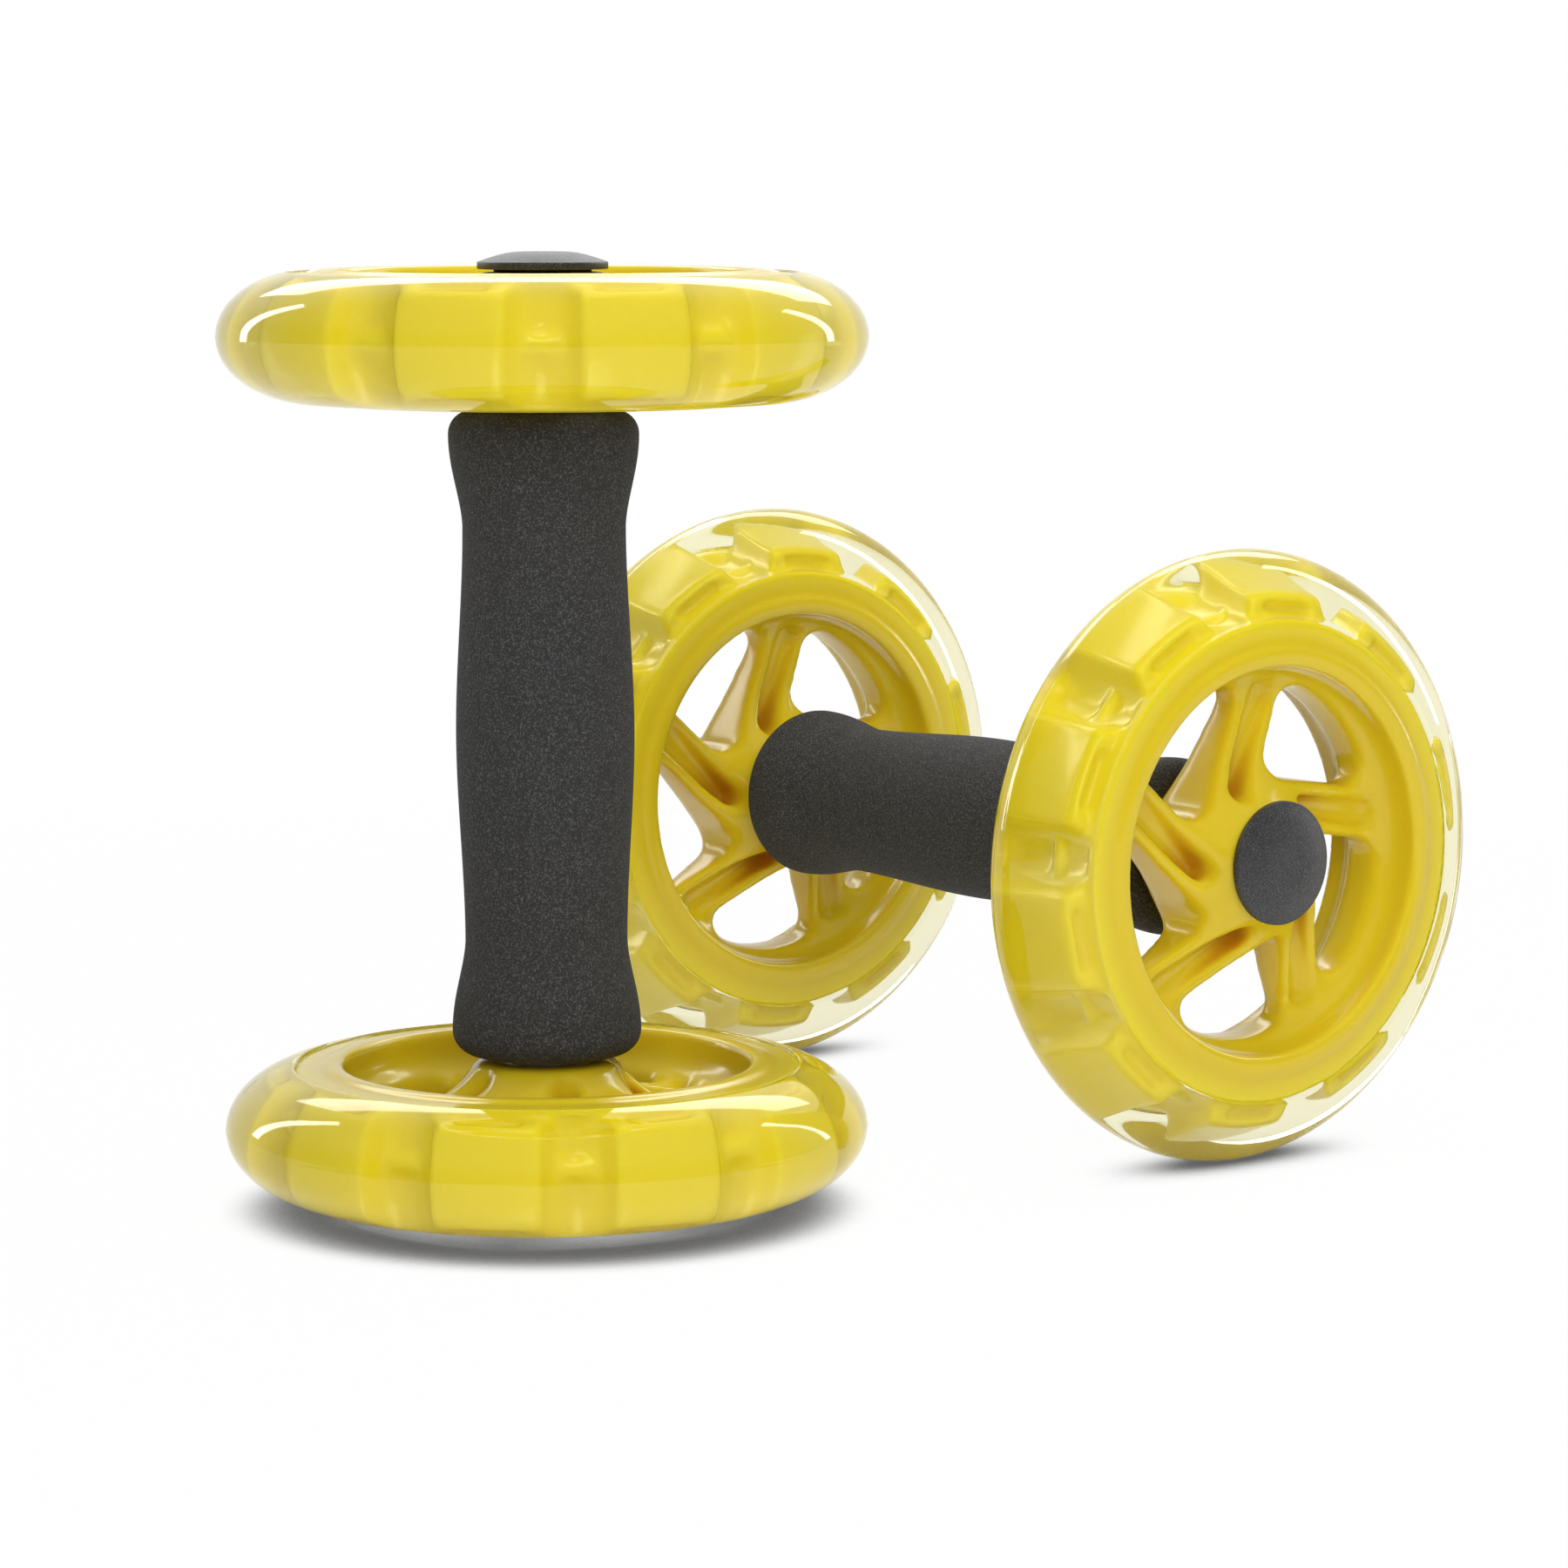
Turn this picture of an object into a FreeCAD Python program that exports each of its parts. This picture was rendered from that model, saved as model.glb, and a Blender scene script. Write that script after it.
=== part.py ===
import FreeCAD, Part
import math
import os

# A pair of hand-held ab rollers, in millimetres, with Z up. One stands on the side of a wheel and
# one lies on the treads of its two wheels. The origin is on the floor, under the standing roller's
# axis. The lying roller's axis runs along Y, and it rolls along X.

# Wheel and tyre
wheel_radius = 76.0
tyre_width = 31.0
tyre_crown_depth = 22.5     # radial depth of the tyre's rounded side
tyre_seat_radius = 60.0     # edge line between the core's side band and the tyre
tyre_step = 0.5             # how far the tyre stands out of the band at that line

# Core: rim
rim_inner_radius = 48.0
lip_width = 4.8
lip_round = 1.5
lip_outer_round = 0.6
band_slope = 0.3            # the side band falls by this much from the lip to the tyre
lobe_count = 10
lobe_radius = 65.5
lobe_half_width = 11.0
lobe_round = 3.0
valley_radius = 8.5
valley_floor = 58.5
valley_web_height = 1.8
valley_web_thickness = 2.0
pocket_inner_radius = 60.4
pocket_height = 2.9
pocket_length = 16.0
pocket_depth = 2.5
pocket_round = 1.2

# Core: spokes
spoke_count = 5
spoke_width = 13.0
spoke_offset = 14.2         # the centre lines of the leaning spokes pass the axle at this distance
spoke_rim_turn = -3.5       # degrees from the lobe that a spoke backs to where it meets the rim
spoke_rim_half = 4.3        # half thickness where the spokes meet the rim
spoke_rim_round = 7.0
spoke_root_radius = 28.0
spoke_root_outer = 6.4      # height of the spokes over the mid-plane at their root
spoke_root_inner = 6.8
window_outer_radius = 44.5
window_round = 4.5
groove_inner_radius = 17.2
groove_outer_radius = 44.0
groove_inner_width = 4.6
groove_outer_width = 7.0
groove_round = 2.2
groove_floor = 1.3          # half thickness of the web left under the grooves

# Core: hub
boss_radius = 17.0
boss_step = 0.1             # the bush flange stands out of the boss by this much
hub_outer_radius = 14.5
hub_outer_straight = 1.0
hub_bore_radius = 6.0
nut_recess_radius = 11.5

# Axle, bushes and fasteners
axle_radius = 4.0
axle_chamfer = 1.0
axle_end_gap = 2.6          # between the axle's end and the inside of the cap
running_clearance = 0.05
side_play = 0.3
bush_radius = 7.0
bush_length = 8.0
bush_flange_radius = 9.0
bush_flange = 1.2
thrust_washer_radius = 8.5
thrust_washer = 1.0
washer_radius = 8.0
washer = 1.6
washer_clearance = 0.2
nut_across_flats = 13.0
nut_height = 8.0
nut_collar = 1.6
nut_collar_radius = 5.9
nut_chamfer = 0.5

# Hub cap
cap_radius = 15.3
cap_edge = 1.8
cap_edge_round = 0.5
cap_dome = 2.2
cap_flat_radius = 5.0
cap_wall = 1.6
cap_skirt = 6.0
cap_skirt_clearance = 0.1
cap_bead = 0.3
cap_bead_height = 1.2
cap_bead_from_end = 0.6
cap_over_tyre = 1.8         # top of the cap's edge over the side of the tyre

# Handle
grip_length = 152.0
grip_to_tyre = 1.8
grip_end_radius = 22.35
grip_waist_radius = 19.15
grip_belly_radius = 21.0
grip_waist_from_end = 27.0
grip_end_round = 5.5
tube_radius = 14.0
tube_wall = 2.0
plug_flange = 2.5
plug_spigot = 16.0
plug_wall = 2.4
plug_web = 3.0

# Places of the two rollers
lying_x = 165.7
lying_y = 32.3
standing_top_turn = 0.0
standing_bottom_turn = 6.0
lying_front_turn = 13.0
lying_rear_turn = 13.0

# Worked out from the sizes above
half_width = tyre_width / 2
half_grip = grip_length / 2
half_span = half_grip + grip_to_tyre + half_width
crest_radius = wheel_radius - tyre_crown_depth
tyre_edge_angle = math.acos((tyre_seat_radius - crest_radius) / tyre_crown_depth)
tyre_edge_z = half_width * math.sin(tyre_edge_angle)
band_outer_z = tyre_edge_z - tyre_step
band_inner_z = band_outer_z + band_slope
lip_outer_radius = rim_inner_radius + lip_width
tube_inner_radius = tube_radius - tube_wall
hub_face_z = half_width + cap_over_tyre - cap_edge
cap_top_z = hub_face_z + cap_edge + cap_dome
cap_ceiling_z = cap_top_z - cap_wall
axle_end_z = cap_ceiling_z - axle_end_gap
nut_z = axle_end_z - nut_height - axle_chamfer
washer_z = nut_z - washer
outer_flange_z = washer_z - side_play
recess_floor_z = outer_flange_z - bush_flange
inner_flange_z = half_grip + thrust_washer + side_play - half_span
boss_end_z = inner_flange_z + boss_step
standing_z = cap_top_z + half_span


def at(r, z):
    """A point of a turned outline, at radius r and height z."""
    return FreeCAD.Vector(r, 0, z)


def flat(r, angle, z=0):
    """A point at radius r and the given angle in degrees about Z."""
    turn = math.radians(angle)
    return FreeCAD.Vector(r * math.cos(turn), r * math.sin(turn), z)


def line(a, b):
    return Part.LineSegment(a, b).toShape()


def arc(a, middle, b):
    return Part.Arc(a, middle, b).toShape()


def sweep(a, b, beyond):
    """An arc from a to b that runs on smoothly into the straight line from b to beyond."""
    chord = a - b
    across = FreeCAD.Vector(b.z - beyond.z, 0, beyond.x - b.x).normalize()
    radius = chord.dot(chord) / (2 * chord.dot(across))
    centre = b + across * radius
    outward = (a + b) / 2 - centre
    return arc(a, centre + outward.normalize() * abs(radius), b)


def corner(centre, radius, start, end):
    """A round corner of a turned outline, between two angles in degrees at its centre."""
    angles = (start, (start + end) / 2, end)
    points = [
        at(centre[0] + radius * math.cos(math.radians(a)), centre[1] + radius * math.sin(math.radians(a)))
        for a in angles
    ]
    return arc(*points)


def turned(edges):
    """The solid that a closed outline in the XZ plane makes when it is turned about Z."""
    face = Part.Face(Part.Wire(edges))
    return face.revolve(FreeCAD.Vector(0, 0, 0), FreeCAD.Vector(0, 0, 1), 360)


def lathe(points):
    """A turned solid whose outline has straight sides only."""
    corners = [at(r, z) for r, z in points]
    return turned([line(a, b) for a, b in zip(corners, corners[1:] + corners[:1])])


def cylinder(radius, low, high):
    return Part.makeCylinder(radius, high - low, FreeCAD.Vector(0, 0, low))


def ring(outer, inner, low, high):
    return cylinder(outer, low, high).cut(cylinder(inner, low, high))


def prism(corners, low, high, rounding):
    """An upright prism on flat corners, with its upright edges rounded."""
    points = [FreeCAD.Vector(p.x, p.y, low) for p in corners]
    wire = Part.makePolygon(points + points[:1])
    solid = Part.Face(wire).extrude(FreeCAD.Vector(0, 0, high - low))
    upright = [e for e in solid.Edges if abs(e.BoundBox.ZLength - (high - low)) < 1e-6]
    return solid.makeFillet(rounding, upright)


def around(shape, count, first=0.0):
    """Copies of a shape evenly spaced about Z."""
    copies = []
    for i in range(count):
        copy = shape.copy()
        copy.rotate(FreeCAD.Vector(0, 0, 0), FreeCAD.Vector(0, 0, 1), first + 360.0 * i / count)
        copies.append(copy)
    return copies


def mirrored(shape):
    return shape.mirror(FreeCAD.Vector(0, 0, 0), FreeCAD.Vector(0, 0, 1))


def core():
    """The wheel's rigid moulding: lobed rim, forked spokes and hub, with its outer side up."""
    rim_z = spoke_rim_half
    fillet_r = rim_inner_radius - spoke_rim_round
    hub_low = at(hub_outer_radius, hub_face_z - hub_outer_straight)
    outer_root = at(spoke_root_radius, spoke_root_outer)
    inner_root = at(spoke_root_radius, -spoke_root_inner)
    web = turned([
        line(at(0, boss_end_z), at(0, hub_face_z)),
        line(at(0, hub_face_z), at(hub_outer_radius, hub_face_z)),
        line(at(hub_outer_radius, hub_face_z), hub_low),
        sweep(hub_low, outer_root, at(fillet_r, rim_z)),
        line(outer_root, at(fillet_r, rim_z)),
        corner((fillet_r, rim_z + spoke_rim_round), spoke_rim_round, -90, 0),
        line(at(rim_inner_radius, rim_z + spoke_rim_round), at(lip_outer_radius, rim_z + spoke_rim_round)),
        line(at(lip_outer_radius, rim_z + spoke_rim_round), at(lip_outer_radius, -rim_z - spoke_rim_round)),
        line(at(lip_outer_radius, -rim_z - spoke_rim_round), at(rim_inner_radius, -rim_z - spoke_rim_round)),
        corner((fillet_r, -rim_z - spoke_rim_round), spoke_rim_round, 0, 90),
        line(at(fillet_r, -rim_z), inner_root),
        sweep(at(boss_radius, boss_end_z), inner_root, at(fillet_r, -rim_z)),
        line(at(boss_radius, boss_end_z), at(0, boss_end_z)),
    ])
    rim = turned(rim_outline())
    body = rim.fuse(web)
    cuts = around(window(), spoke_count)
    cuts += around(groove(groove_floor, 2 * half_width), spoke_count)
    cuts += around(groove(-2 * half_width, -groove_floor), spoke_count)
    cuts += around(valley(), lobe_count, 180.0 / lobe_count)
    cuts += around(pocket(), lobe_count)
    cuts += around(mirrored(pocket()), lobe_count)
    cuts += hub_bores()
    return body.cut(cuts).removeSplitter()


def rim_outline():
    """The closed outline of the rim, its lips, side bands and lobes."""
    lip_in = rim_inner_radius + lip_round
    lip_low = half_width - lip_round
    lip_out = lip_outer_radius - lip_outer_round
    lip_end = half_width - lip_outer_round
    lobe_in = lobe_radius - lobe_round
    lobe_low = lobe_half_width - lobe_round
    edges = [line(at(rim_inner_radius, -lip_low), at(rim_inner_radius, lip_low))]
    for z in (1, -1):
        side = [
            corner((lip_in, z * lip_low), lip_round, 180, 90 if z > 0 else 270),
            line(at(lip_in, z * half_width), at(lip_out, z * half_width)),
            corner((lip_out, z * lip_end), lip_outer_round, 90 * z, 0),
            line(at(lip_outer_radius, z * lip_end), at(lip_outer_radius, z * band_inner_z)),
            line(at(lip_outer_radius, z * band_inner_z), at(tyre_seat_radius, z * band_outer_z)),
            line(at(tyre_seat_radius, z * band_outer_z), at(tyre_seat_radius, z * lobe_half_width)),
            line(at(tyre_seat_radius, z * lobe_half_width), at(lobe_in, z * lobe_half_width)),
            corner((lobe_in, z * lobe_low), lobe_round, 90 * z, 0),
        ]
        edges += side
    edges.append(line(at(lobe_radius, lobe_low), at(lobe_radius, -lobe_low)))
    return Part.__sortEdges__(edges)


def on_spoke(along, across, spoke=0):
    """A point of a spoke: its distances from the axle along and across the spoke's direction."""
    lean = math.degrees(math.asin(spoke_offset / window_outer_radius))
    direction = spoke_rim_turn - lean + 360.0 * spoke / spoke_count
    return flat(along, direction) + flat(across, direction + 90)


def along_at(radius, across):
    """How far along a spoke a line beside it reaches the given radius."""
    return math.sqrt(radius ** 2 - across ** 2)


def window():
    """The opening between the first spoke and the next, as a prism through the wheel."""
    height = 4 * half_width
    pitch = math.radians(360.0 / spoke_count)
    near = spoke_offset + spoke_width / 2
    far = spoke_offset - spoke_width / 2
    tip = on_spoke((near * math.cos(pitch) - far) / math.sin(pitch), near)
    first = on_spoke(along_at(window_outer_radius, near), near)
    second = on_spoke(along_at(window_outer_radius, far), far, 1)
    middle = (first + second).normalize() * window_outer_radius
    face = Part.Face(Part.Wire([line(tip, first), arc(first, middle, second), line(second, tip)]))
    face.translate(FreeCAD.Vector(0, 0, -height / 2))
    solid = face.extrude(FreeCAD.Vector(0, 0, height))
    upright = [e for e in solid.Edges if abs(e.BoundBox.ZLength - height) < 1e-6]
    return solid.makeFillet(window_round, upright)


def groove(low, high):
    """The deep groove that forks the first spoke, from low to high."""
    inner = groove_inner_width / 2
    outer = groove_outer_width / 2
    start = along_at(groove_inner_radius, spoke_offset)
    end = along_at(groove_outer_radius, spoke_offset)
    corners = [
        on_spoke(start, spoke_offset - inner),
        on_spoke(end, spoke_offset - outer),
        on_spoke(end, spoke_offset + outer),
        on_spoke(start, spoke_offset + inner),
    ]
    return prism(corners, low, high, groove_round)


def valley():
    """The scallop between two lobes, with a low web left at the mid-plane, on the X axis."""
    centre = FreeCAD.Vector(valley_floor + valley_radius, 0, -lobe_half_width)
    scallop = Part.makeCylinder(valley_radius, 2 * lobe_half_width, centre)
    half_web = valley_web_thickness / 2
    web = ring(valley_floor + valley_web_height, valley_floor / 2, -half_web, half_web)
    return scallop.cut(web)


def pocket():
    """The blind pocket in the outer side of a lobe, on the X axis."""
    half = pocket_length / 2
    outer_radius = pocket_inner_radius + pocket_height
    corners = [
        FreeCAD.Vector(pocket_inner_radius, -half, 0),
        FreeCAD.Vector(outer_radius, -half, 0),
        FreeCAD.Vector(outer_radius, half, 0),
        FreeCAD.Vector(pocket_inner_radius, half, 0),
    ]
    return prism(corners, lobe_half_width - pocket_depth, lobe_half_width + pocket_depth, pocket_round)


def hub_bores():
    """The axle's way through the hub, the seats of the bushes and the recess for nut and cap."""
    inner_seat_z = inner_flange_z + bush_flange
    bead_z = hub_face_z - cap_skirt + cap_bead_from_end
    bead_groove = lathe([
        (nut_recess_radius, bead_z),
        (nut_recess_radius + cap_bead, bead_z + cap_bead_height / 2),
        (nut_recess_radius, bead_z + cap_bead_height),
        (nut_recess_radius / 2, bead_z + cap_bead_height / 2),
    ])
    return [
        cylinder(hub_bore_radius, boss_end_z, hub_face_z),
        cylinder(bush_radius, boss_end_z, inner_seat_z + bush_length),
        cylinder(bush_flange_radius, boss_end_z, inner_seat_z),
        cylinder(bush_radius, recess_floor_z - bush_length, recess_floor_z),
        cylinder(nut_recess_radius, recess_floor_z, hub_face_z),
        bead_groove,
    ]


def tyre(wheel_core):
    """The clear tyre, moulded over the lobes of the core."""
    section = Part.Ellipse(at(wheel_radius, 0), at(crest_radius, half_width), at(crest_radius, 0))
    crown = Part.ArcOfEllipse(section, -tyre_edge_angle, tyre_edge_angle).toShape()
    low = at(tyre_seat_radius, -tyre_edge_z)
    high = at(tyre_seat_radius, tyre_edge_z)
    seat_low = at(valley_floor / 2 + crest_radius / 2, -lobe_half_width)
    seat_high = at(valley_floor / 2 + crest_radius / 2, lobe_half_width)
    blank = turned([
        crown,
        line(high, at(tyre_seat_radius, lobe_half_width)),
        line(at(tyre_seat_radius, lobe_half_width), seat_high),
        line(seat_high, seat_low),
        line(seat_low, at(tyre_seat_radius, -lobe_half_width)),
        line(at(tyre_seat_radius, -lobe_half_width), low),
    ])
    return blank.cut(wheel_core)


def inner_bush():
    """The flanged bush in the hub's handle side."""
    flange = ring(bush_flange_radius, axle_radius + running_clearance, inner_flange_z, inner_flange_z + bush_flange)
    low = inner_flange_z + bush_flange
    sleeve = ring(bush_radius, axle_radius + running_clearance, low, low + bush_length)
    return flange.fuse(sleeve).removeSplitter()


def outer_bush():
    """The flanged bush in the bottom of the hub's recess."""
    sleeve = ring(bush_radius, axle_radius + running_clearance, recess_floor_z - bush_length, recess_floor_z)
    flange = ring(bush_flange_radius, axle_radius + running_clearance, recess_floor_z, outer_flange_z)
    return sleeve.fuse(flange).removeSplitter()


def hub_cap():
    """The domed cap that snaps into the hub's recess."""
    edge_z = hub_face_z + cap_edge
    round_r = cap_radius - cap_edge_round
    dome_mid_r = (round_r + cap_flat_radius) / 2
    dome_mid_z = edge_z + 0.66 * cap_dome
    skirt_radius = nut_recess_radius - cap_skirt_clearance
    skirt_inner = skirt_radius - cap_wall
    bead_z = hub_face_z - cap_skirt + cap_bead_from_end
    skirt_end = hub_face_z - cap_skirt
    return turned([
        line(at(0, cap_ceiling_z), at(0, cap_top_z)),
        line(at(0, cap_top_z), at(cap_flat_radius, cap_top_z)),
        arc(at(cap_flat_radius, cap_top_z), at(dome_mid_r, dome_mid_z), at(round_r, edge_z)),
        corner((round_r, edge_z - cap_edge_round), cap_edge_round, 90, 0),
        line(at(cap_radius, edge_z - cap_edge_round), at(cap_radius, hub_face_z)),
        line(at(cap_radius, hub_face_z), at(skirt_radius, hub_face_z)),
        line(at(skirt_radius, hub_face_z), at(skirt_radius, bead_z + cap_bead_height)),
        line(at(skirt_radius, bead_z + cap_bead_height), at(skirt_radius + cap_bead, bead_z + cap_bead_height / 2)),
        line(at(skirt_radius + cap_bead, bead_z + cap_bead_height / 2), at(skirt_radius, bead_z)),
        line(at(skirt_radius, bead_z), at(skirt_radius, skirt_end)),
        line(at(skirt_radius, skirt_end), at(skirt_inner, skirt_end)),
        line(at(skirt_inner, skirt_end), at(skirt_inner, cap_ceiling_z)),
        line(at(skirt_inner, cap_ceiling_z), at(0, cap_ceiling_z)),
    ])


def thrust_washer_ring():
    """The washer between the handle's plug and the inner bush."""
    low = half_grip - half_span
    return ring(thrust_washer_radius, axle_radius + washer_clearance, low, low + thrust_washer)


def retaining_washer():
    """The washer under the lock nut."""
    return ring(washer_radius, axle_radius + washer_clearance, washer_z, nut_z)


def lock_nut():
    """A hexagonal lock nut with a round collar over its insert."""
    hexagon = nut_height - nut_collar
    corner_radius = nut_across_flats / 2 / math.cos(math.radians(30))
    corners = [flat(corner_radius, 60 * i, nut_z) for i in range(6)]
    wire = Part.makePolygon(corners + corners[:1])
    body = Part.Face(wire).extrude(FreeCAD.Vector(0, 0, hexagon))
    chamfers = lathe([
        (0, nut_z),
        (corner_radius - nut_chamfer, nut_z),
        (corner_radius, nut_z + nut_chamfer),
        (corner_radius, nut_z + hexagon - nut_chamfer),
        (corner_radius - nut_chamfer, nut_z + hexagon),
        (0, nut_z + hexagon),
    ])
    collar = cylinder(nut_collar_radius, nut_z + hexagon, nut_z + nut_height)
    bore = cylinder(axle_radius + running_clearance, nut_z, nut_z + nut_height)
    return body.common(chamfers).fuse(collar).cut(bore)


def axle():
    """The steel axle that runs through the handle and both wheels, centred on the handle."""
    end = half_span + axle_end_z
    return lathe([
        (0, -end),
        (axle_radius - axle_chamfer, -end),
        (axle_radius, axle_chamfer - end),
        (axle_radius, end - axle_chamfer),
        (axle_radius - axle_chamfer, end),
        (0, end),
    ])


def handle_tube():
    """The tube under the grip, between the flanges of its end plugs."""
    end = half_grip - plug_flange
    return ring(tube_radius, tube_inner_radius, -end, end)


def end_plug():
    """The plug in the upper end of the tube: flange, hollow spigot and a web round the axle."""
    bore = axle_radius + running_clearance
    spigot_end = half_grip - plug_flange - plug_spigot
    spigot_inner = tube_inner_radius - plug_wall
    sleeve = bore + plug_wall
    return lathe([
        (bore, half_grip),
        (tube_radius, half_grip),
        (tube_radius, half_grip - plug_flange),
        (tube_inner_radius, half_grip - plug_flange),
        (tube_inner_radius, spigot_end),
        (spigot_inner, spigot_end),
        (spigot_inner, half_grip - plug_web),
        (sleeve, half_grip - plug_web),
        (sleeve, spigot_end),
        (bore, spigot_end),
    ])


def foam_grip():
    """The foam sleeve: flared round ends, two waists and a belly."""
    flare_z = half_grip - grip_end_round
    waist_z = half_grip - grip_waist_from_end
    side = Part.BSplineCurve()
    side.interpolate([
        at(grip_end_radius, -flare_z),
        at(grip_waist_radius, -waist_z),
        at(grip_belly_radius, 0),
        at(grip_waist_radius, waist_z),
        at(grip_end_radius, flare_z),
    ])
    end_r = grip_end_radius - grip_end_round
    return turned([
        line(at(tube_radius, half_grip), at(tube_radius, -half_grip)),
        line(at(tube_radius, -half_grip), at(end_r, -half_grip)),
        corner((end_r, -flare_z), grip_end_round, -90, 0),
        side.toShape(),
        corner((end_r, flare_z), grip_end_round, 0, 90),
        line(at(end_r, half_grip), at(tube_radius, half_grip)),
    ])


def on_end(shape, end, turn):
    """A wheel's piece on the upper (1) end of a roller, or its mirror image on the lower (-1) end."""
    placed = shape.copy() if end > 0 else mirrored(shape)
    placed.rotate(FreeCAD.Vector(0, 0, 0), FreeCAD.Vector(0, 0, 1), turn)
    placed.translate(FreeCAD.Vector(0, 0, end * half_span))
    return placed


def wheel_pieces():
    """The pieces at each end of a roller that sit on the axle, with the wheel's outer side up."""
    wheel_core = core()
    return {
        "core": wheel_core,
        "tyre": tyre(wheel_core),
        "inner_bush": inner_bush(),
        "outer_bush": outer_bush(),
        "thrust_washer": thrust_washer_ring(),
        "retaining_washer": retaining_washer(),
        "lock_nut": lock_nut(),
        "hub_cap": hub_cap(),
    }


def roller(name, wheel, ends):
    """Every piece of one roller, upright and centred on its handle: a dictionary of node to shape."""
    pieces = {
        name + "_foam_grip": foam_grip(),
        name + "_handle_tube": handle_tube(),
        name + "_axle": axle(),
    }
    for end_name, end, turn in ends:
        plug = end_plug()
        pieces[name + "_" + end_name + "_end_plug"] = plug if end > 0 else mirrored(plug)
        for piece, shape in wheel.items():
            pieces[name + "_" + end_name + "_" + piece] = on_end(shape, end, turn)
    return pieces


def main():
    os.makedirs("parts", exist_ok=True)
    wheel = wheel_pieces()
    standing = roller("standing", wheel, [("top", 1, standing_top_turn), ("bottom", -1, standing_bottom_turn)])
    lying = roller("lying", wheel, [("front", 1, lying_front_turn), ("rear", -1, lying_rear_turn)])
    for shape in standing.values():
        shape.translate(FreeCAD.Vector(0, 0, standing_z))
    for shape in lying.values():
        shape.rotate(FreeCAD.Vector(0, 0, 0), FreeCAD.Vector(1, 0, 0), 90)
        shape.translate(FreeCAD.Vector(lying_x, lying_y, wheel_radius))
    pieces = {**standing, **lying}
    for node, shape in pieces.items():
        shape.exportStep("parts/" + node + ".step")
        print(node, "solids", len(shape.Solids), "valid", shape.isValid(), "volume", round(shape.Volume))


main()
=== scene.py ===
from math import acos, cos, hypot, pi, radians, sin

import bmesh
import bpy
from mathutils import Matrix, Vector


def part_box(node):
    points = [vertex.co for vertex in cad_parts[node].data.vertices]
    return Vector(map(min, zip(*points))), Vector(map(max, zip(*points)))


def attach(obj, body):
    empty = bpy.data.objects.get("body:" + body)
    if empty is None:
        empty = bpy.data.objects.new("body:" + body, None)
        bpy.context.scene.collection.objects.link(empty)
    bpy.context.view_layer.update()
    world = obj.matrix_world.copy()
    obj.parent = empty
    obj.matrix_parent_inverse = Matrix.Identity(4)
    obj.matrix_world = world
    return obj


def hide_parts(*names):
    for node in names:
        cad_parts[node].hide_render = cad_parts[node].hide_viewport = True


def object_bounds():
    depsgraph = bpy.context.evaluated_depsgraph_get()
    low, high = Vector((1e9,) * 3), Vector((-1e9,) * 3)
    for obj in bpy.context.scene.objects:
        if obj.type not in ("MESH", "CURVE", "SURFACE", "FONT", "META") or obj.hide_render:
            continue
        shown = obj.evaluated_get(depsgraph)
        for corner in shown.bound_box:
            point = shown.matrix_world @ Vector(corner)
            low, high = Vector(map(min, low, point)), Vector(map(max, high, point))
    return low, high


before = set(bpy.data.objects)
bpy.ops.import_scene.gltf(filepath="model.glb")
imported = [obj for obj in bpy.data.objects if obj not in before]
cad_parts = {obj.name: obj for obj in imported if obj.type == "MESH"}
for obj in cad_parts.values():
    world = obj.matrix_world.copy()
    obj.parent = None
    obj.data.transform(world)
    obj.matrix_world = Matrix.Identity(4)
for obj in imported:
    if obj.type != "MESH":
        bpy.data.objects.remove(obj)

cad_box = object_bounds()

# Camera. A long lens at grip height looks a little down over the pair, the standing roller to the
# left and the lying one beside and behind it.
camera_place = Vector((-0.6912, -0.9542, 0.2452))
camera_turn = -0.6746
camera_pitch = 0.1221
camera_data = bpy.data.cameras.new("camera")
camera_data.lens = 115.5
camera_data.sensor_width = 36.0
camera = bpy.data.objects.new("camera", camera_data)
camera.location = camera_place
camera.rotation_euler = (pi / 2 - camera_pitch, 0, camera_turn)
bpy.context.scene.collection.objects.link(camera)
bpy.context.scene.camera = camera
bpy.context.scene.view_settings.view_transform = "Standard"


class Socket:
    """A shader socket. Sums on it add Math nodes, so a pattern is written as an expression."""

    def __init__(self, tree, socket):
        self.tree = tree
        self.socket = socket

    def math(self, operation, first, second=None):
        sockets = {0: first} if second is None else {0: first, 1: second}
        return self.tree.add("ShaderNodeMath", {"operation": operation}, sockets)

    def __add__(self, other):
        return self.math("ADD", self, other)

    def __sub__(self, other):
        return self.math("SUBTRACT", self, other)

    def __rsub__(self, other):
        return self.math("SUBTRACT", other, self)

    def __mul__(self, other):
        return self.math("MULTIPLY", self, other)

    def larger(self, other):
        return self.math("MAXIMUM", self, other)

    def smaller(self, other):
        return self.math("MINIMUM", self, other)

    def clamped(self):
        return self.larger(0.0).smaller(1.0)

    def over(self, low, high):
        """0 below low, 1 above high, and smooth between them."""
        ramp = {"interpolation_type": "SMOOTHSTEP"}
        return self.tree.add("ShaderNodeMapRange", ramp, {"Value": self, "From Min": low, "From Max": high})

    __radd__ = __add__
    __rmul__ = __mul__


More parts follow.
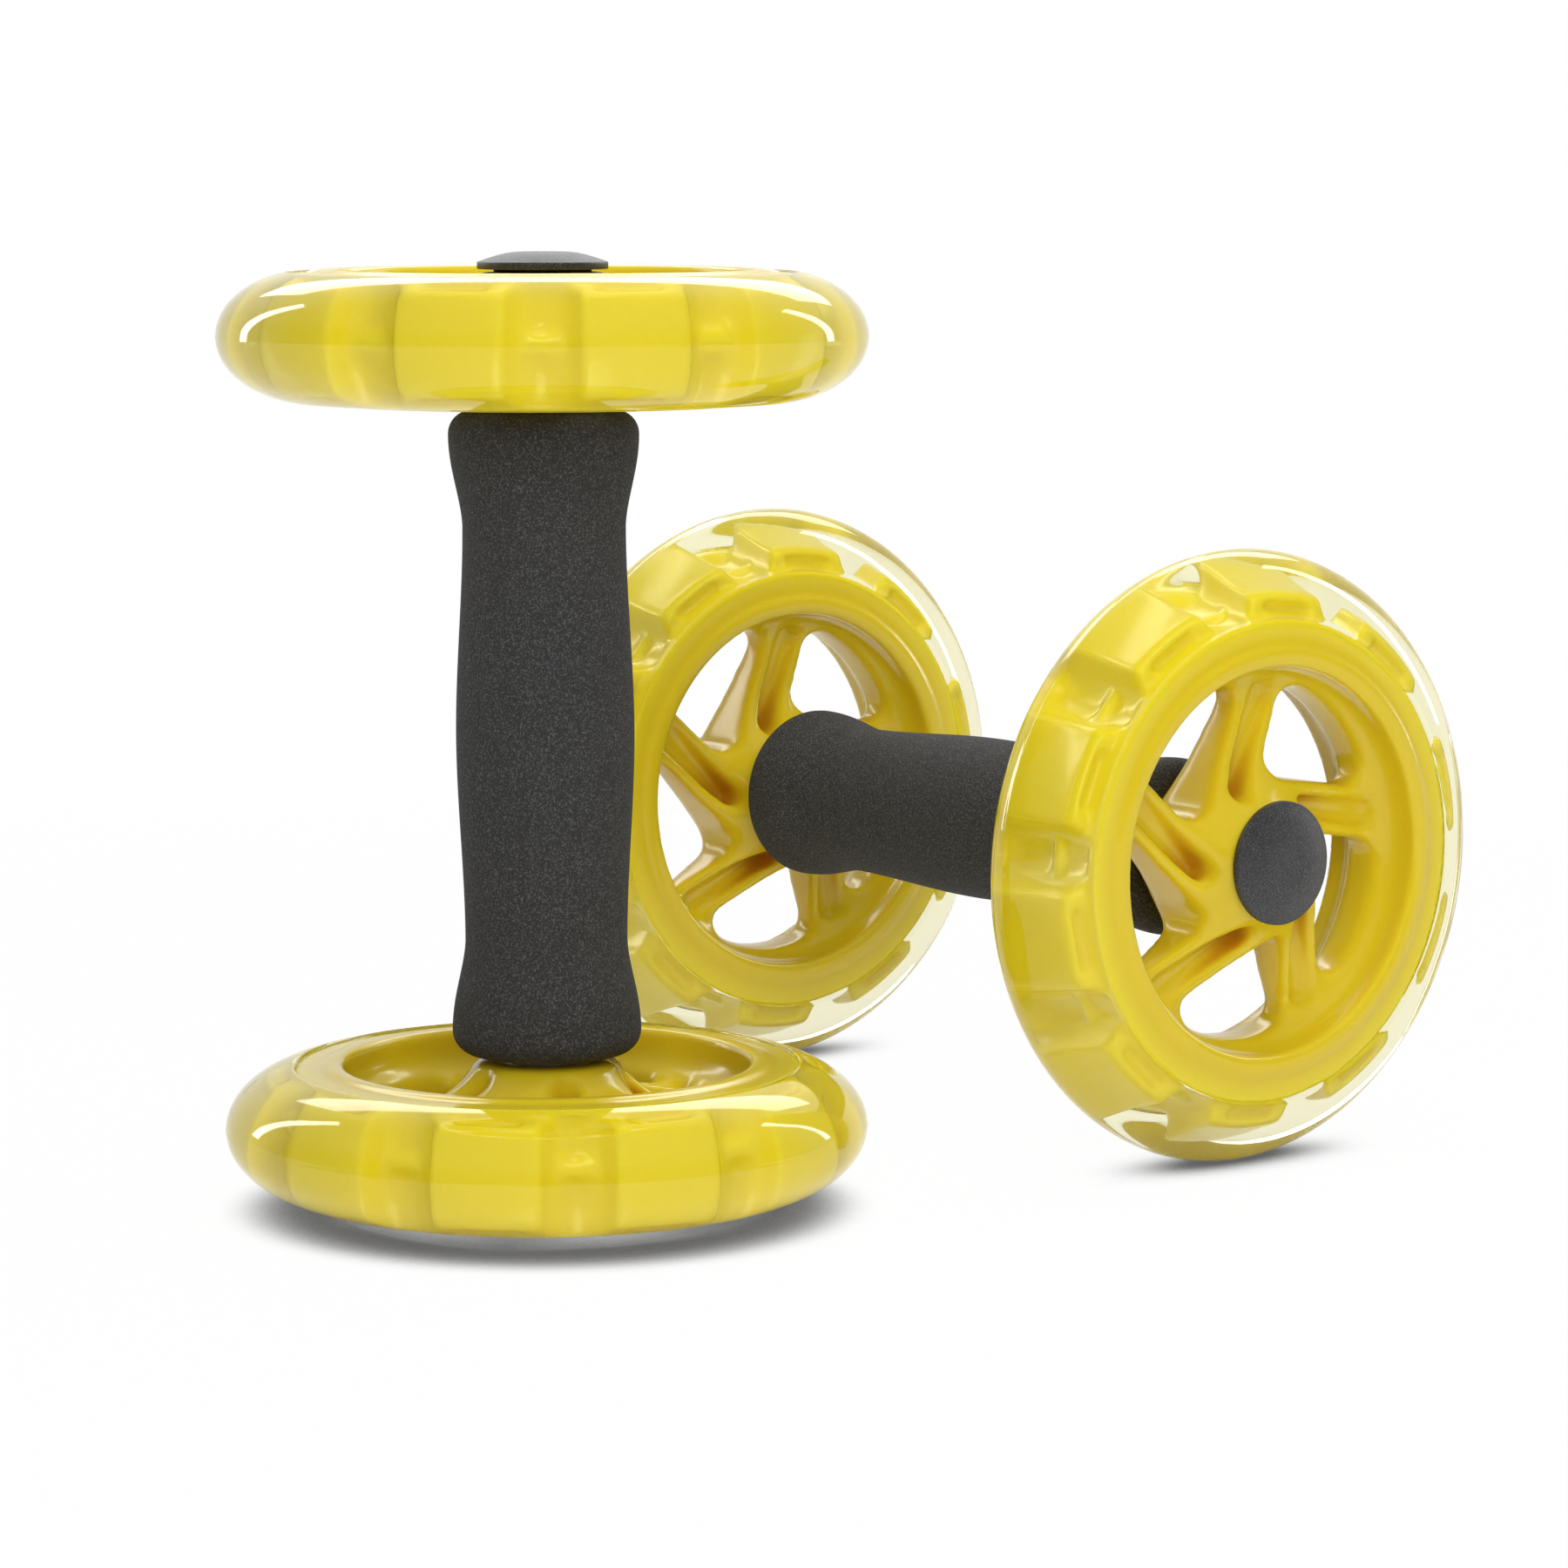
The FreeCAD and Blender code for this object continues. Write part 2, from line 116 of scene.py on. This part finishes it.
class Finish:
    """The node tree of a material or of the world, with one method that adds any node."""

    def __init__(self, owner):
        self.owner = owner
        owner.use_nodes = True
        self.nodes = owner.node_tree
        self.nodes.nodes.clear()

    def add(self, kind, settings, sockets, output=0):
        node = self.nodes.nodes.new(kind)
        for name, value in settings.items():
            setattr(node, name, value)
        for name, value in sockets.items():
            if isinstance(value, Socket):
                self.nodes.links.new(value.socket, node.inputs[name])
            else:
                node.inputs[name].default_value = value
        return Socket(self, node.outputs[output])

    def place(self):
        return self.add("ShaderNodeTexCoord", {}, {}, "Object")

    def noise(self, scale, detail=2.0, roughness=0.5):
        sockets = {"Vector": self.place(), "Scale": scale, "Detail": detail, "Roughness": roughness}
        return self.add("ShaderNodeTexNoise", {}, sockets, "Fac")

    def mix(self, share, first, second):
        """The colour between first and second. The node's sockets share names, so it goes by number."""
        return self.add("ShaderNodeMix", {"data_type": "RGBA"}, {0: share, 6: first, 7: second}, 2)

    def bump(self, height, strength, distance):
        return self.add("ShaderNodeBump", {}, {"Height": height, "Strength": strength, "Distance": distance})

    def end(self, shader, kind="ShaderNodeOutputMaterial"):
        last = self.nodes.nodes.new(kind)
        self.nodes.links.new(shader.socket, last.inputs["Surface"])
        return self.owner


def dress(piece, material):
    """Gives a piece one material."""
    piece.data.materials.clear()
    piece.data.materials.append(material)


# Studio. The pair stands on a white floor that runs out of sight under a white backdrop. The key is
# a broad soft box behind the camera. A second one hangs overhead. Two tall strips stand at the sides
# and a long one hangs behind, so that gloss has shapes in it.
sky_fill = 0.30
gloss_behind_camera = 0.10
floor_radius = 8.0
floor_white = 0.93
floor_glow = 0.98
floor_glow_start = 0.45
floor_glow_end = 1.0
shadow_reach = 0.040
shadow_depth = 0.88
pair_middle = (cad_box[0] + cad_box[1]) / 2
view_ahead = Vector((-sin(camera_turn), cos(camera_turn), 0))
view_right = Vector((cos(camera_turn), sin(camera_turn), 0))
up = Vector((0, 0, 1))

world = bpy.data.worlds.new("studio")
bpy.context.scene.world = world
sky = Finish(world)
direction = sky.add("ShaderNodeTexCoord", {}, {}, "Generated")
ahead = sky.add("ShaderNodeVectorMath", {"operation": "DOT_PRODUCT"}, {0: direction, 1: view_ahead}, "Value")
height = sky.add("ShaderNodeSeparateXYZ", {}, {"Vector": direction}, "Z")
gloss_level = gloss_behind_camera + (1.0 - gloss_behind_camera) * ahead.over(0.0, 0.75)
gloss_level = gloss_level.larger(0.45 * height.over(0.2, 0.7))
glossy = sky.add("ShaderNodeLightPath", {}, {}, "Is Glossy Ray")
level = sky_fill + (gloss_level - sky_fill) * glossy
seen = sky.add("ShaderNodeLightPath", {}, {}, "Is Camera Ray").larger(
    sky.add("ShaderNodeLightPath", {}, {}, "Is Transmission Ray"))
level = level + (1.0 - level) * seen
sky_colour = sky.add("ShaderNodeCombineColor", {}, {"Red": level, "Green": level, "Blue": level})
sky.end(sky.add("ShaderNodeBackground", {}, {"Color": sky_colour, "Strength": 1.0}), "ShaderNodeOutputWorld")

floor_mesh = bmesh.new()
bmesh.ops.create_circle(floor_mesh, cap_ends=True, segments=96, radius=floor_radius)
floor_data = bpy.data.meshes.new("floor")
floor_mesh.to_mesh(floor_data)
floor_mesh.free()
floor = bpy.data.objects.new("floor", floor_data)
bpy.context.scene.collection.objects.link(floor)
paint = Finish(bpy.data.materials.new("floor_paint"))
from_middle = paint.add("ShaderNodeVectorMath", {"operation": "DISTANCE"},
                        {0: paint.place(), 1: (pair_middle.x, pair_middle.y, 0)}, "Value")
glow_share = floor_glow + (1.0 - floor_glow) * from_middle.over(floor_glow_start, floor_glow_end)
seen = paint.add("ShaderNodeLightPath", {}, {}, "Is Camera Ray").larger(
    paint.add("ShaderNodeLightPath", {}, {}, "Is Transmission Ray")).larger(
    paint.add("ShaderNodeLightPath", {}, {}, "Is Glossy Ray"))
# The glow that camera, gloss and glass rays see carries a painted contact shadow: it darkens by up to shadow_depth
# where ambient occlusion finds the pair within shadow_reach.
open_above = paint.add("ShaderNodeAmbientOcclusion", {"samples": 16}, {"Distance": shadow_reach}, "AO")
white = 1.0 - shadow_depth * (1.0 - open_above.over(0.12, 0.6))
glow_colour = paint.add("ShaderNodeCombineColor", {}, {"Red": white, "Green": white, "Blue": white})
matt = paint.add("ShaderNodeBsdfDiffuse", {}, {"Color": (floor_white, floor_white, floor_white, 1)})
glow = paint.add("ShaderNodeEmission", {}, {"Color": glow_colour, "Strength": 1.0})
dress(floor, paint.end(paint.add("ShaderNodeMixShader", {}, {0: glow_share * seen, 1: matt, 2: glow})))


# Each lamp's name, how far right, forward and up it hangs, its size and power, and whether it only
# shows in gloss. The others light the pair and stay out of its gloss.
soft_boxes = (
    ("lamp_key", (0.3, -2.3, 1.1), (1.6, 1.2), 25.0, False),
    ("lamp_over", (0.2, 0.0, 1.3), (1.4, 1.0), 11.0, False),
    ("lamp_left", (-0.85, 0.45, 0.40), (0.10, 0.80), 2.2, True),
    ("lamp_right", (0.85, 0.45, 0.40), (0.10, 0.80), 2.2, True),
    ("lamp_high", (0.0, 1.0, 0.8), (1.4, 0.35), 6.0, True),
)
for name, (right, forward, above), (lamp_width, lamp_height), power, in_gloss in soft_boxes:
    lamp = bpy.data.lights.new(name, "AREA")
    lamp.shape = "RECTANGLE"
    lamp.size = lamp_width
    lamp.size_y = lamp_height
    lamp.energy = power
    holder = bpy.data.objects.new(name, lamp)
    from_pair = right * view_right + forward * view_ahead + above * up
    holder.location = pair_middle + from_pair
    holder.rotation_euler = (-from_pair).to_track_quat("-Z", "Y").to_euler()
    holder.visible_glossy = in_gloss
    holder.visible_diffuse = not in_gloss
    bpy.context.scene.collection.objects.link(holder)


# Wheel places. Each wheel is made lying flat about its own middle, outer side up, and is then set on
# its end of an axle. A wheel's turn is where one of its five spokes points, seen along the axle.
spoke_turn = {"standing_top": 0.0, "standing_bottom": 6.0, "lying_front": 13.0, "lying_rear": 13.0}


def middle_of(node):
    low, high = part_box(node)
    return (low + high) / 2


def wheel_place(name, other, side):
    """The matrix that sets a wheel made flat about its middle on the named end of its roller.

    The wheels at the two ends of a roller are mirror images, and so are their matrices."""
    middle = middle_of(name + "_tyre")
    out = (middle - middle_of(other + "_tyre")).normalized()
    turn = radians(spoke_turn[name])
    across = cos(turn) * Vector((1, 0, 0)) + sin(turn) * side
    along = cos(turn) * side - sin(turn) * Vector((1, 0, 0))
    place = Matrix((across, along, out)).transposed().to_4x4()
    place.translation = middle
    return place


wheel_places = {
    "standing_top": wheel_place("standing_top", "standing_bottom", Vector((0, 1, 0))),
    "standing_bottom": wheel_place("standing_bottom", "standing_top", Vector((0, 1, 0))),
    "lying_front": wheel_place("lying_front", "lying_rear", Vector((0, 0, 1))),
    "lying_rear": wheel_place("lying_rear", "lying_front", Vector((0, 0, 1))),
}


def piece_from(mesh, name, body, material, slot, *nodes):
    """A smooth piece that rides on a body and stands for CAD nodes. It frees the bmesh."""
    data = bpy.data.meshes.new(name)
    mesh.to_mesh(data)
    mesh.free()
    piece = bpy.data.objects.new(name, data)
    bpy.context.scene.collection.objects.link(piece)
    piece.data.polygons.foreach_set("use_smooth", [True] * len(piece.data.polygons))
    dress(piece, material)
    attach(piece, body)
    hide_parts(*nodes)
    return piece


def on_wheel(make, name, piece_name, material, slot, node):
    """A piece made flat by make, set on the named wheel in place of one of its nodes."""
    mesh = make()
    bmesh.ops.transform(mesh, matrix=wheel_places[name], verts=mesh.verts)
    if wheel_places[name].determinant() < 0:
        bmesh.ops.reverse_faces(mesh, faces=mesh.faces)
    return piece_from(mesh, name + "_" + piece_name, name + "_wheel", material, slot, name + "_" + node)


def spun(outline, steps):
    """A closed bmesh from an outline of (radius, height) points turned about Z. An outline that starts
    on the axis also ends on it, and any other one is closed here."""
    mesh = bmesh.new()
    verts = [mesh.verts.new((r, 0, z)) for r, z in outline]
    pairs = list(zip(verts, verts[1:]))
    if outline[0][0] > 0:
        pairs.append((verts[-1], verts[0]))
    edges = [mesh.edges.new(pair) for pair in pairs]
    bmesh.ops.spin(mesh, geom=verts + edges, axis=(0, 0, 1), cent=(0, 0, 0), angle=2 * pi,
                   steps=steps, use_merge=True)
    bmesh.ops.remove_doubles(mesh, verts=mesh.verts, dist=1e-7)
    bmesh.ops.recalc_face_normals(mesh, faces=mesh.faces)
    return mesh


# Cores. Each wheel's core is one bright yellow moulding in glossy nylon: a hub, five forked spokes
# that lean round like a pinwheel, a lipped rim and ten lobes that key it into the tyre. The edges
# left by the mould are soft. Its colour carries painted light: a painted glow turns the outer rim and
# lobes from golden to lemon, as if light shone through the nylon, and painted shade turns the web's
# recesses deep orange.
core_golden = (0.80, 0.61, 0.018, 1)
core_lemon_painted_glow = (0.88, 0.74, 0.022, 1)
core_painted_shade = (0.60, 0.26, 0.008, 1)
recess_reach = 0.014
remesh_size = 0.0008
soft_passes_all = 4
soft_passes_web = 26
soft_passes_lobes = 12
web_reach = 0.0455
lobe_reach = 0.0610
golden_end = 0.0540
lemon_start = 0.0600

paint = Finish(bpy.data.materials.new("moulded_core"))
near = paint.add("ShaderNodeAmbientOcclusion", {"samples": 8, "only_local": True}, {"Distance": recess_reach}, "AO")
# The mesh attribute read here is the share of the painted glow on the lobes: 0 inside golden_end and 1 beyond
# lemon_start.
painted_glow = paint.add("ShaderNodeAttribute", {"attribute_name": "painted_glow"}, {}, "Fac")
cloud = (paint.noise(40.0, 3.0) - 0.5) * 0.3
colour = paint.mix((painted_glow + cloud).clamped(), core_golden, core_lemon_painted_glow)
# Painted shade: deep orange where ambient occlusion finds a recess within recess_reach, kept off the glowing lobes.
colour = paint.mix((0.68 - near).over(0.0, 0.5) * (1.0 - painted_glow), colour, core_painted_shade)
core_finish = paint.end(paint.add("ShaderNodeBsdfPrincipled", {}, {
    "Base Color": colour,
    "Roughness": 0.15 + 0.1 * paint.noise(90.0, 2.0),
    "IOR": 1.45,
    "Subsurface Weight": 0.35,
    "Subsurface Radius": (1.0, 0.6, 0.05),
    "Subsurface Scale": 0.006,
    "Normal": paint.bump(paint.noise(260.0, 2.0), 0.12, 0.0002),
}))


def soft_core(name):
    """The named wheel's core, laid flat, with every edge softened as the mould leaves it."""
    whole = bmesh.new()
    whole.from_mesh(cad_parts[name + "_core"].data)
    bmesh.ops.remove_doubles(whole, verts=whole.verts, dist=1e-6)
    bmesh.ops.transform(whole, matrix=wheel_places[name].inverted(), verts=whole.verts)
    data = bpy.data.meshes.new("core_source")
    whole.to_mesh(data)
    whole.free()
    source = bpy.data.objects.new("core_source", data)
    bpy.context.scene.collection.objects.link(source)
    remesh = source.modifiers.new("remesh", "REMESH")
    remesh.mode = "VOXEL"
    remesh.voxel_size = remesh_size
    fine = bpy.data.meshes.new_from_object(source.evaluated_get(bpy.context.evaluated_depsgraph_get()))
    soft = bmesh.new()
    soft.from_mesh(fine)
    bpy.data.objects.remove(source)
    bpy.data.meshes.remove(data)
    bpy.data.meshes.remove(fine)
    smooth = {"factor": 0.5, "use_axis_x": True, "use_axis_y": True, "use_axis_z": True}
    web = [v for v in soft.verts if hypot(v.co.x, v.co.y) < web_reach]
    lobes = [v for v in soft.verts if hypot(v.co.x, v.co.y) > lobe_reach]
    for verts, passes in ((web, soft_passes_web), (lobes, soft_passes_lobes)):
        for i in range(passes):
            bmesh.ops.smooth_vert(soft, verts=verts, **smooth)
    for i in range(soft_passes_all):
        bmesh.ops.smooth_vert(soft, verts=soft.verts, **smooth)
    # The share of the lobes' painted glow, rising with the radius from golden_end to lemon_start.
    painted_glow = soft.verts.layers.float.new("painted_glow")
    for v in soft.verts:
        share = (hypot(v.co.x, v.co.y) - golden_end) / (lemon_start - golden_end)
        v[painted_glow] = min(max(share, 0.0), 1.0)
    return soft


flat_core = soft_core("lying_front")
for name in wheel_places:
    on_wheel(flat_core.copy, name, "core_moulding", core_finish, "core_yellow", "core")
flat_core.free()

# Tyres. Each is a hazy, see-through yellow soft plastic, cast round the core's lobes, so that the
# lobes show through it. Its tread is smooth and carries the mould's fine parting line.
tyre_radius = 0.076
tyre_half_width = 0.0155
tyre_crown = 0.0225
tyre_edge = 0.060
tyre_points = 61
tyre_inside = ((0.0597, 0.0139), (0.0583, 0.0120), (0.0568, 0.0095))
tyre_steps = 176
parting_height = 0.00012
tyre_tint = (0.99, 0.975, 0.76, 1)
tyre_glow = (0.97, 0.93, 0.55, 1)
tyre_haze = (0.90, 0.80, 0.06, 1)
tyre_haze_share = 0.10


def tyre_ring():
    """The tyre's closed ring: its rounded outside, and an inside that lies within the core's rim."""
    crest = tyre_radius - tyre_crown
    reach = acos((tyre_edge - crest) / tyre_crown)
    outline = []
    for i in range(tyre_points):
        angle = reach * (2 * i / (tyre_points - 1) - 1)
        ridge = parting_height if i == tyre_points // 2 else 0
        outline.append((crest + tyre_crown * cos(angle) + ridge, tyre_half_width * sin(angle)))
    outline += tyre_inside
    outline += [(r, -z) for r, z in reversed(tyre_inside)]
    return spun(outline, tyre_steps)


paint = Finish(bpy.data.materials.new("clear_tyre"))
glass = paint.add("ShaderNodeBsdfPrincipled", {}, {
    "Base Color": tyre_tint,
    "Roughness": 0.05,
    "IOR": 1.46,
    "Transmission Weight": 1.0,
    "Normal": paint.bump(paint.noise(35.0, 2.0), 0.12, 0.001),
})
haze = paint.add("ShaderNodeBsdfDiffuse", {}, {"Color": tyre_haze})
hazy_glass = paint.add("ShaderNodeMixShader", {}, {0: tyre_haze_share, 1: glass, 2: haze})
passing = paint.add("ShaderNodeBsdfTransparent", {}, {"Color": tyre_glow})
path = paint.add("ShaderNodeLightPath", {}, {}, "Is Shadow Ray").larger(
    paint.add("ShaderNodeLightPath", {}, {}, "Is Diffuse Ray"))
tyre_finish = paint.end(paint.add("ShaderNodeMixShader", {}, {0: path, 1: hazy_glass, 2: passing}))
for name in wheel_places:
    on_wheel(tyre_ring, name, "clear_tyre", tyre_finish, "clear_tyre", "tyre")

# Hub caps. Each is a black plastic disc with a fine spark-eroded texture, domed towards a small
# flat, and it snaps into the hub on a short skirt.
cap_radius = 0.0153
cap_seat = 0.0155
cap_edge = 0.0018
cap_edge_round = 0.0005
cap_edge_steps = 6
cap_rear_ease = 0.0002
cap_top = 0.0195
cap_flat = 0.005
cap_dome_steps = 24
cap_turn_steps = 112
cap_skirt_radius = 0.0114
cap_skirt_wall = 0.0016
cap_skirt_end = 0.0095


def cap_disc():
    """The cap's closed outline, turned: inside, skirt, edge, dome and crown."""
    ceiling = cap_top - cap_skirt_wall
    inner = cap_skirt_radius - cap_skirt_wall
    outline = [
        (0, ceiling), (inner, ceiling), (inner, cap_skirt_end), (cap_skirt_radius, cap_skirt_end),
        (cap_skirt_radius, cap_seat), (cap_radius - cap_rear_ease, cap_seat),
        (cap_radius, cap_seat + cap_rear_ease),
    ]
    edge_top = cap_seat + cap_edge
    for i in range(cap_edge_steps + 1):
        angle = pi / 2 * i / cap_edge_steps
        outline.append((
            cap_radius - cap_edge_round + cap_edge_round * cos(angle),
            edge_top - cap_edge_round + cap_edge_round * sin(angle),
        ))
    dome_start = cap_radius - cap_edge_round
    for i in range(1, cap_dome_steps + 1):
        share = i / cap_dome_steps
        r = dome_start + (cap_flat - dome_start) * share
        outline.append((r, edge_top + (cap_top - edge_top) * sin(pi / 2 * share)))
    outline.append((0, cap_top))
    return spun(outline, cap_turn_steps)


paint = Finish(bpy.data.materials.new("cap_texture"))
grain = paint.noise(2600.0, 2.0, 0.6)
fleck = paint.noise(3600.0, 1.0).over(0.50, 0.70)
colour = paint.mix(fleck, (0.028, 0.028, 0.030, 1), (0.11, 0.11, 0.114, 1))
cap_finish = paint.end(paint.add("ShaderNodeBsdfPrincipled", {}, {
    "Base Color": colour,
    "Roughness": 0.34 + 0.16 * grain,
    "IOR": 1.5,
    "Normal": paint.bump(grain, 0.7, 0.0002),
}))
for name in wheel_places:
    on_wheel(cap_disc, name, "cap", cap_finish, "cap_black", "hub_cap")

# Grips. Each is a sleeve of closed-cell black foam pushed over the handle's tube: flared round ends
# that stop the hand, two waists, and a belly that fills the palm.
grip_half = 0.076
grip_end_radius = 0.02235
grip_waist_radius = 0.01915
grip_belly_radius = 0.0210
grip_waist_height = 0.049
grip_end_round = 0.0055
grip_bore = 0.0141
grip_flare_power = 1.6
grip_side_steps = 40
grip_end_steps = 8
grip_turn_steps = 96
foam_dark = (0.034, 0.034, 0.035, 1)
foam_fleck = (0.21, 0.21, 0.213, 1)


def smooth_step(x):
    return x * x * (3 - 2 * x)


def grip_radius(height):
    """The grip's radius between its round ends, at a height over its middle."""
    height = abs(height)
    flare = grip_half - grip_end_round
    if height < grip_waist_height:
        share = smooth_step(height / grip_waist_height)
        return grip_belly_radius + (grip_waist_radius - grip_belly_radius) * share
    share = (height - grip_waist_height) / (flare - grip_waist_height)
    return grip_waist_radius + (grip_end_radius - grip_waist_radius) * sin(pi / 2 * share) ** grip_flare_power


def grip_sleeve():
    """The sleeve's closed outline, turned about Z."""
    flare = grip_half - grip_end_round
    end = []
    for i in range(1, grip_end_steps + 1):
        angle = pi / 2 * i / grip_end_steps
        end.append((
            grip_end_radius - grip_end_round + grip_end_round * cos(angle),
            flare + grip_end_round * sin(angle),
        ))
    end.append((grip_bore, grip_half))
    heights = [flare * i / grip_side_steps for i in range(-grip_side_steps, grip_side_steps + 1)]
    side = [(grip_radius(z), z) for z in heights]
    outline = [(r, -z) for r, z in reversed(end)] + side + end
    return spun(outline, grip_turn_steps)


paint = Finish(bpy.data.materials.new("closed_cell_foam"))
cells = paint.noise(1500.0, 3.0, 0.65)
sparks = paint.noise(2100.0, 2.0, 0.7).over(0.46, 0.70)
cloud = paint.noise(60.0, 3.0)
colour = paint.mix(sparks * 0.55, foam_dark, foam_fleck)
colour = paint.mix(cloud * 0.25, colour, (0.05, 0.05, 0.052, 1))
foam_finish = paint.end(paint.add("ShaderNodeBsdfPrincipled", {}, {
    "Base Color": colour,
    "Roughness": 0.78 + 0.16 * cells,
    "Specular IOR Level": 0.25,
    "Normal": paint.bump(cells, 0.75, 0.0004),
}))
for roller, out in (("standing", Vector((0, 0, 1))), ("lying", Vector((0, -1, 0)))):
    sleeve = grip_sleeve()
    place = out.to_track_quat("Z", "X").to_matrix().to_4x4()
    place.translation = middle_of(roller + "_foam_grip")
    bmesh.ops.transform(sleeve, matrix=place, verts=sleeve.verts)
    grip = piece_from(sleeve, roller + "_grip_sleeve", roller + "_handle", foam_finish, "grip_foam",
                      roller + "_foam_grip")

# Metal. The axle, its washers and its lock nuts are zinc-plated steel; the tube under the grip is
# drawn alloy. They keep their CAD shapes.
paint = Finish(bpy.data.materials.new("zinc_plate"))
patch = paint.noise(700.0, 3.0)
colour = paint.mix(patch, (0.50, 0.51, 0.53, 1), (0.66, 0.67, 0.68, 1))
steel_finish = paint.end(paint.add("ShaderNodeBsdfPrincipled", {}, {
    "Base Color": colour,
    "Metallic": 1.0,
    "Roughness": 0.24 + 0.18 * paint.noise(1800.0, 2.0),
    "Normal": paint.bump(patch, 0.1, 0.0001),
}))
paint = Finish(bpy.data.materials.new("drawn_alloy"))
streak = paint.noise(900.0, 4.0)
tube_finish = paint.end(paint.add("ShaderNodeBsdfPrincipled", {}, {
    "Base Color": paint.mix(streak, (0.62, 0.63, 0.65, 1), (0.74, 0.75, 0.77, 1)),
    "Metallic": 1.0,
    "Roughness": 0.3 + 0.15 * streak,
}))

# Plastic inside. White acetal bushes carry the wheels, and black plugs centre the axle in the tube.
paint = Finish(bpy.data.materials.new("acetal"))
mottle = paint.noise(300.0, 2.0)
bush_finish = paint.end(paint.add("ShaderNodeBsdfPrincipled", {}, {
    "Base Color": paint.mix(mottle, (0.80, 0.80, 0.76, 1), (0.86, 0.86, 0.83, 1)),
    "Roughness": 0.32 + 0.1 * mottle,
    "Normal": paint.bump(mottle, 0.1, 0.0001),
}))
paint = Finish(bpy.data.materials.new("plug_plastic"))
mottle = paint.noise(1200.0, 2.0)
plug_finish = paint.end(paint.add("ShaderNodeBsdfPrincipled", {}, {
    "Base Color": paint.mix(mottle, (0.028, 0.028, 0.03, 1), (0.045, 0.045, 0.048, 1)),
    "Roughness": 0.45 + 0.15 * mottle,
    "Normal": paint.bump(mottle, 0.2, 0.0001),
}))
inner_finishes = {
    "axle": steel_finish,
    "washer": steel_finish,
    "lock_nut": steel_finish,
    "handle_tube": tube_finish,
    "bush": bush_finish,
    "end_plug": plug_finish,
}
for node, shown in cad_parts.items():
    for ending, finish in inner_finishes.items():
        if node.endswith(ending):
            dress(shown, finish)
